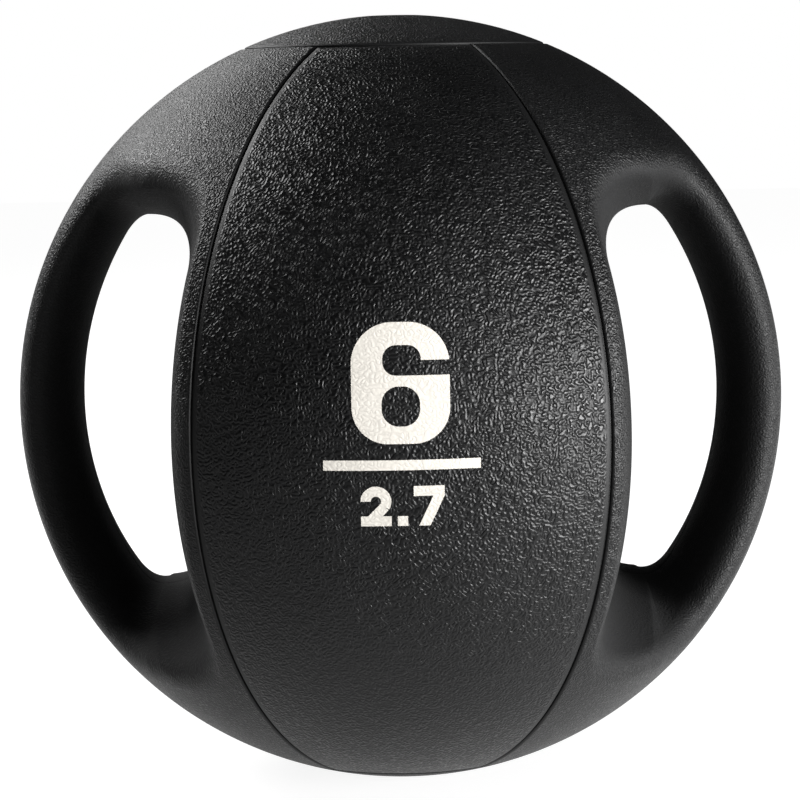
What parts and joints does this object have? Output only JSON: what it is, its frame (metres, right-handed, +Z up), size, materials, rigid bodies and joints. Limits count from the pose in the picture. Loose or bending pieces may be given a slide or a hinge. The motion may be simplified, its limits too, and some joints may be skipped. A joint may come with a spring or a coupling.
{
  "type": "medicine ball",
  "caption": "Round rubber medicine ball, hollow and inflated, with a grip handle and a finger opening moulded into each side.",
  "frame": {"origin": "centre of the ball", "axes": "+Z up through the inflation valve, +X through the right handle, and the front panel with the weight marking faces -Y"},
  "size_m": [0.26, 0.2601, 0.2599],
  "materials": {
    "pebbled_cover": "coarse pebbled, satin",
    "fine_cover": "fine grain, satin",
    "grip_rubber": "fine grain, satin",
    "foam_core": "foamed, matte",
    "carcass_rubber": "matte",
    "nylon": "wound thread set in cement",
    "butyl": "smooth",
    "valve_rubber": "smooth, matte",
    "ink": "matte printed ink"
  },
  "bodies": {
    "root": {"front_panel": "pebbled_cover", "rear_panel": "pebbled_cover", "top_cap": "fine_cover", "bottom_cap": "fine_cover", "left_grip_front": "grip_rubber", "left_grip_rear": "grip_rubber", "right_grip_front": "grip_rubber", "right_grip_rear": "grip_rubber", "left_handle_core": "foam_core", "right_handle_core": "foam_core", "carcass_front": "carcass_rubber", "carcass_rear": "carcass_rubber", "nylon_winding": "nylon", "bladder": "butyl", "valve_housing": "valve_rubber", "valve_core": "valve_rubber", "pounds_numeral": "ink", "kilograms_numerals": "ink"}
  },
  "joints": []
}
